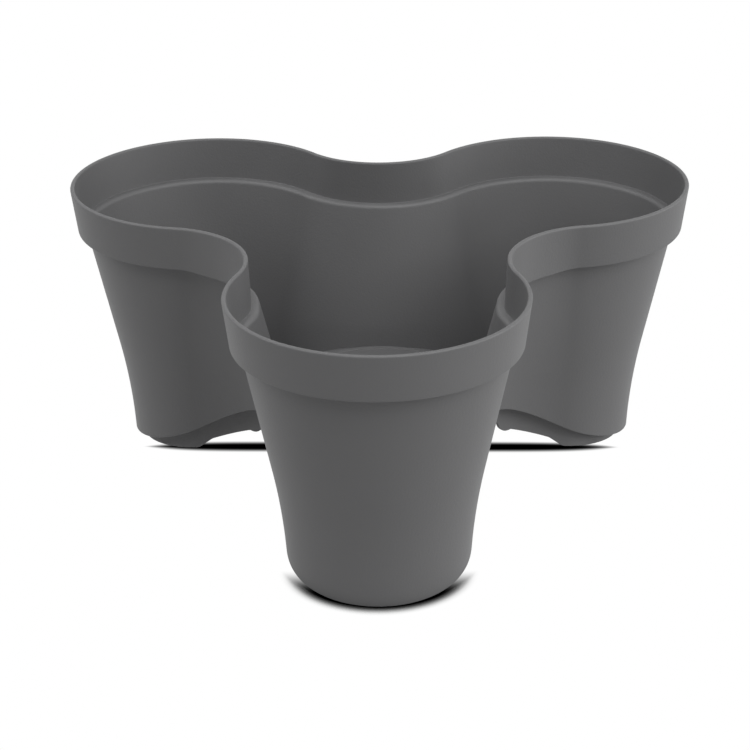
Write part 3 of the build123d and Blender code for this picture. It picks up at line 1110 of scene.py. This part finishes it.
    def collar_mesh(self) -> bpy.types.Mesh:
        """Raised ring round the middle opening."""
        low = self.floor.plateau + self.floor.thickness / 2
        high = self.floor.plateau + self.floor.thickness + self.collar_height
        inner = self.collar_radius - self.collar_wall
        section = rounded_line([
            ((inner, low), 0.0),
            ((self.collar_radius, low), 0.0),
            ((self.collar_radius, high), self.collar_round),
            ((inner, high), self.collar_round),
        ], closed=True)
        return turned("collar", section, self.plan.axis, self.collar_sides)

    def build(self) -> bpy.types.Object:
        """Makes the body, gives it its finish and puts it in the place of its solid.

        Returns:
            The piece.
        """
        material = self.finish.material()
        meshes = [make(material) for make in (self.wall_mesh, self.rib_mesh, self.floor_mesh)]
        piece = joined("planter_moulding", meshes + [self.collar_mesh()], material)
        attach(piece, "planter")
        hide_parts("planter_body")
        return piece


@dataclass
class WateringDisc:
    """The lift-out disc in the collar, with rings of slots for the water."""

    plan: Trefoil
    finish: MouldedFinish
    perforate: PerforationTree
    top: float = 2.2 * MM               # thickness of the disc's top
    skirt: float = 2.5 * MM             # thickness of the wall under its edge
    edge_round: float = 0.3 * MM
    slot_counts: tuple[int, ...] = (5, 9, 13)
    first_ring: float = 12 * MM
    ring_spacing: float = 10 * MM
    slot_width: float = 3.2 * MM
    slot_span: float = 0.6              # part of each ring that is open
    side_steps: int = 25                # points along each side of a slot
    end_steps: int = 13                 # and round each end
    sides: int = 180

    def slot(self, ring: float, sweep: float, low: float, high: float) -> bpy.types.Mesh:
        """Cutter for one slot: a curved bar with round ends.

        Args:
            ring: radius of the ring of slots.
            sweep: angle between the middles of the slot's ends, in radians.
            low: height of its lower face.
            high: height of its upper face.

        Returns:
            The mesh, about the origin.
        """
        half = self.slot_width / 2
        along = np.linspace(0.0, sweep, self.side_steps)
        ends = np.linspace(0.0, pi, self.end_steps)[1:-1]
        outline: list[Point] = []
        for angles, offset, end, turns in ((along, half, sweep, ends), (along[::-1], -half, 0.0, ends + pi)):
            outline += [((ring + offset) * cos(a), (ring + offset) * sin(a)) for a in angles]
            x, y = ring * cos(end), ring * sin(end)
            outline += [(x + half * cos(end + turn), y + half * sin(end + turn)) for turn in turns]
        return tidy(extruded("slot", [(x, y, low) for x, y in outline], Vector((0.0, 0.0, high - low))))

    def build(self) -> bpy.types.Object:
        """Makes the disc, gives it its finish and puts it in the place of its solid.

        Returns:
            The piece.
        """
        low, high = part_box("watering_disc")
        radius = (high.x - low.x) / 2
        under = high.z - self.top
        inner = radius - self.skirt
        section = rounded_line([
            ((0.0, under), 0.0),
            ((inner, under), self.edge_round / 2),
            ((inner, low.z), self.edge_round / 2),
            ((radius, low.z), self.edge_round / 2),
            ((radius, high.z), self.edge_round),
            ((0.0, high.z), 0.0),
        ], closed=True)
        material = self.finish.material()
        mesh = turned("disc", section, self.plan.axis, self.sides)
        for place, count in enumerate(self.slot_counts):
            ring = self.first_ring + place * self.ring_spacing
            cutter = self.slot(ring, 2 * pi / count * self.slot_span, under - self.top, high.z + self.top)
            mesh = self.perforate.ring(mesh, cutter, self.plan.axis, count, material)
        piece = joined("slotted_disc", [mesh], material)
        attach(piece, "watering_disc")
        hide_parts("watering_disc")
        return piece


@dataclass
class DrainPlug:
    """Push-in plug of a lobe's drain hole: a head on the floor, a stem through it and a tab to grip."""

    plan: Trefoil
    lobe: Lobe
    material: bpy.types.Material
    distance: float                     # from the planter's axis
    floor_top: float
    stem_radius: float = 7.7 * MM
    head_radius: float = 12.5 * MM
    head: float = 2.6 * MM
    head_round: float = 0.9 * MM
    tip_chamfer: float = 1.6 * MM
    tab_width: float = 13 * MM
    tab_thickness: float = 4 * MM
    tab_round: float = 3 * MM
    edge_round: float = 0.6 * MM
    sides: int = 72

    def turned_part(self, tip: float) -> bpy.types.Mesh:
        """Head and stem, with a rounded head and a tapered tip."""
        top = self.floor_top + self.head
        section = rounded_line([
            ((0.0, tip), 0.0),
            ((self.stem_radius - self.tip_chamfer, tip), self.edge_round),
            ((self.stem_radius, tip + self.tip_chamfer), self.edge_round),
            ((self.stem_radius, self.floor_top), self.edge_round / 2),
            ((self.head_radius, self.floor_top), self.edge_round / 2),
            ((self.head_radius, top), self.head_round),
            ((0.0, top), 0.0),
        ], closed=True)
        return turned("plug", section, self.place, self.sides)

    @property
    def place(self) -> Vector:
        """The plug's axis, as a point on the ground."""
        way = radians(self.lobe.value)
        return self.plan.axis + self.distance * Vector((cos(way), sin(way), 0.0))

    def tab(self, highest: float) -> bpy.types.Mesh:
        """Upright tab with a rounded outline and soft edges."""
        low = self.floor_top + self.head / 2
        half = self.tab_width / 2
        outline = rounded_line([
            ((-half, low), 0.0),
            ((half, low), 0.0),
            ((half, highest), self.tab_round),
            ((-half, highest), self.tab_round),
        ], closed=True)
        back = [(-self.tab_thickness / 2, across, height) for across, height in outline]
        mesh = extruded("tab", back, Vector((self.tab_thickness, 0.0, 0.0)), self.edge_round)
        mesh.transform(Matrix.Translation(self.place) @ Matrix.Rotation(radians(self.lobe.value), 4, "Z"))
        return tidy(mesh)

    def build(self) -> bpy.types.Object:
        """Makes the plug, gives it its finish and puts it in the place of its solid.

        Returns:
            The piece.
        """
        side = self.lobe.name.lower()
        node = f"drain_plug_{side}"
        low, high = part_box(node)
        piece = joined(f"plug_{side}", [self.turned_part(low.z), self.tab(high.z)], self.material)
        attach(piece, node)
        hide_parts(node)
        return piece


@dataclass
class Studio:
    """Plain pale floor, soft light from the front and both sides, and the photograph's camera."""

    picture: int = 750                  # pixels across the picture
    focal_pixels: float = 2175.7
    axis_below_middle: float = 20.8     # pixels from the picture's middle down to the lens axis
    camera_place: Triple = (0.0118, -1.1558, 0.5996)
    heading: float = radians(0.716)     # turned to the left of +Y
    pitch: float = radians(25.02)       # below the horizon
    roll: float = radians(-0.533)
    sensor: float = 36.0                # millimetres
    floor_size: float = 6.0
    floor_white: float = 0.5            # how much light the floor throws back on things
    shade_reach: float = 10 * MM        # the painted contact shadow fades out this far from what stands on the floor
    shade_samples: int = 32
    shade_dark: float = 0.4             # share of open sky at which the shadow is black
    shade_clear: float = 0.98           # share of open sky at which it is gone
    shade_from: float = -128 * MM       # along Y, where the painted contact shadow starts to fade towards the back
    shade_to: float = -100 * MM
    streak_place: Point = (0.0, 54 * MM)    # middle of the long thin painted shadow under the rear lobes
    streak_half: Point = (140 * MM, 5.2 * MM)
    streak_slope: float = -0.012
    streak_soft: float = 3.3 * MM
    display_power: float = 2.2          # how the screen's grey depends on light
    lamp_distance: float = 2.0
    lamp_size: float = 1.2
    lamps: tuple[Triple, ...] = (       # degrees to the right of the front and above the horizon, and watts
        (0, 65, 15.5),
        (45, 40, 17.4),
        (90, 15, 14.9),
        (-90, 40, 15.7),
    )
    surround: float = 0.1               # strength of the light from all round

    def camera(self) -> None:
        """Makes the camera."""
        data = bpy.data.cameras.new("camera")
        data.sensor_width = self.sensor
        data.lens = self.sensor * self.focal_pixels / self.picture
        data.shift_y = self.axis_below_middle / self.picture
        eye = in_scene("camera", data)
        turn = Matrix.Rotation(self.heading, 4, "Z") @ Matrix.Rotation(pi / 2 - self.pitch, 4, "X")
        eye.matrix_world = Matrix.Translation(self.camera_place) @ turn @ Matrix.Rotation(self.roll, 4, "Z")
        bpy.context.scene.camera = eye

    def lamp(self, side: float, height: float, power: float) -> None:
        """Adds a square soft light that faces the planter.

        Args:
            side: degrees to the right of the front.
            height: degrees above the horizon.
            power: watts.
        """
        data = bpy.data.lights.new("lamp", "AREA")
        data.size = self.lamp_size
        data.energy = power
        lamp = in_scene("lamp", data)
        turn = Matrix.Rotation(radians(side), 4, "Z") @ Matrix.Rotation(radians(90 - height), 4, "X")
        middle = Matrix.Translation((0.0, 0.0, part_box("planter_body")[1].z / 2))
        lamp.matrix_world = middle @ turn @ Matrix.Translation((0.0, 0.0, self.lamp_distance))

    def seen_directly(self, sheet: NodeSheet) -> Field:
        """1 for rays from the camera, in mirrors and through glass, and 0 for light that falls on things."""
        path = sheet.add("ShaderNodeLightPath")
        seen, mirrored, through = (
            Field(sheet, path.outputs[f"Is {kind} Ray"]) for kind in ("Camera", "Glossy", "Transmission")
        )
        return seen.most(mirrored).most(through)

    def world(self) -> None:
        """White background, with a dimmer white light on things."""
        world = bpy.data.worlds.new("studio")
        bpy.context.scene.world = world
        world.use_nodes = True
        sheet = NodeSheet(world.node_tree)
        background = world.node_tree.nodes["Background"]
        background.inputs["Color"].default_value = (1.0, 1.0, 1.0, 1.0)
        seen = self.seen_directly(sheet)
        sheet.feed(background.inputs["Strength"], seen * (1.0 - self.surround) + self.surround)

    def floor(self) -> None:
        """Makes the floor, which shows white with the planter's shadow painted on it."""
        half = self.floor_size / 2
        mesh = bpy.data.meshes.new("floor")
        corners = [(x * half, y * half, 0.0) for x, y in ((-1, -1), (1, -1), (1, 1), (-1, 1))]
        mesh.from_pydata(corners, [], [(0, 1, 2, 3)])
        ground = in_scene("floor", mesh)
        mesh.materials.append(self.floor_paint())

    def brightness(self, sheet: NodeSheet) -> Field:
        """How bright the floor is painted: 0 in a painted shadow and 1 outside it.

        There is a painted close shadow at the front of the front lobe, darkest where ambient occlusion finds
        little open sky, and a painted long thin shadow under the rear lobes.
        """
        reach = {"Distance": self.shade_reach}
        # painted shadow: the floor darkens where ambient occlusion finds the planter close by
        sky = sheet.add("ShaderNodeAmbientOcclusion", reach, samples=self.shade_samples)
        contact = sheet.ramp(Field(sheet, sky.outputs["AO"]), self.shade_dark, self.shade_clear)
        spot = sheet.add("ShaderNodeTexCoord").outputs["Object"]
        axes = sheet.add("ShaderNodeSeparateXYZ", {0: spot})
        x, y = (Field(sheet, axes.outputs[axis]) for axis in "XY")
        contact = contact.most(sheet.ramp(y, self.shade_from, self.shade_to))
        # painted shadow: a long thin dark band on the floor under the rear lobes
        across = x - self.streak_place[0]
        along = across / self.streak_half[0]
        half = (1.0 - along.squared().squared().squared()) * self.streak_half[1]    # thin near its ends
        outside = sheet.math("ABSOLUTE", y - self.streak_place[1] - across * self.streak_slope) - half
        return contact.least(sheet.ramp(outside, -self.streak_soft, self.streak_soft))

    def floor_paint(self) -> bpy.types.Material:
        """White that throws light back on things and shows the planter's shadow, painted into the colour that
        the camera sees.

        Returns:
            The material.
        """
        paint = bpy.data.materials.new("white floor")
        paint.use_nodes = True
        sheet = NodeSheet(paint.node_tree)
        paint.node_tree.nodes.remove(paint.node_tree.nodes["Principled BSDF"])
        # the painted shadows darken the floor's seen colour; the floor does not show its real shadow
        light = sheet.math("POWER", self.brightness(sheet), self.display_power)
        shown = sheet.add("ShaderNodeEmission", {"Color": light, "Strength": 1.0})
        white = (self.floor_white,) * 3 + (1.0,)
        plain = sheet.add("ShaderNodeBsdfDiffuse", {"Color": white})
        both = sheet.add("ShaderNodeMixShader", {
            0: self.seen_directly(sheet), 1: plain.outputs[0], 2: shown.outputs[0],
        })
        sheet.feed(paint.node_tree.nodes["Material Output"].inputs["Surface"], both.outputs[0])
        return paint

    def build(self) -> None:
        """Sets up the floor, the light and the camera."""
        bpy.context.scene.view_settings.view_transform = "Standard"
        self.floor()
        self.world()
        for lamp in self.lamps:
            self.lamp(*lamp)
        self.camera()


def main() -> None:
    """Builds the planter's pieces and the studio, in order."""
    logging.basicConfig(level=logging.INFO, format="%(name)s: %(message)s")
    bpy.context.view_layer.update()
    colours = {entry["slot"]: tuple(entry["base_color"]) for entry in frame["record"]["materials"]}
    plan = Trefoil()
    perforate = PerforationTree()
    plastic = MouldedFinish("grey grained plastic", colours["body_plastic"], roughness=0.55)
    disc_plastic = MouldedFinish("grey disc plastic", colours["disc_plastic"], roughness=0.5)
    rubber = MouldedFinish(
        "black plug rubber", colours["plug_rubber"], roughness=0.75, grain=0.3 * MM, relief=0.02 * MM
    )
    body = PlanterBody(plan, plastic, WallLine(height=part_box("planter_body")[1].z), perforate)
    pieces = [body.build(), WateringDisc(plan, disc_plastic, perforate).build()]
    plug_rubber = rubber.material()
    floor_top = body.floor.lobe_floor + body.floor.thickness
    for lobe in Lobe:
        pieces.append(DrainPlug(plan, lobe, plug_rubber, body.drain_distance, floor_top).build())
    for piece in pieces:
        LOG.info("%s: %d faces", piece.name, len(piece.data.polygons))
    Studio().build()


if __name__ == "__main__":
    main()
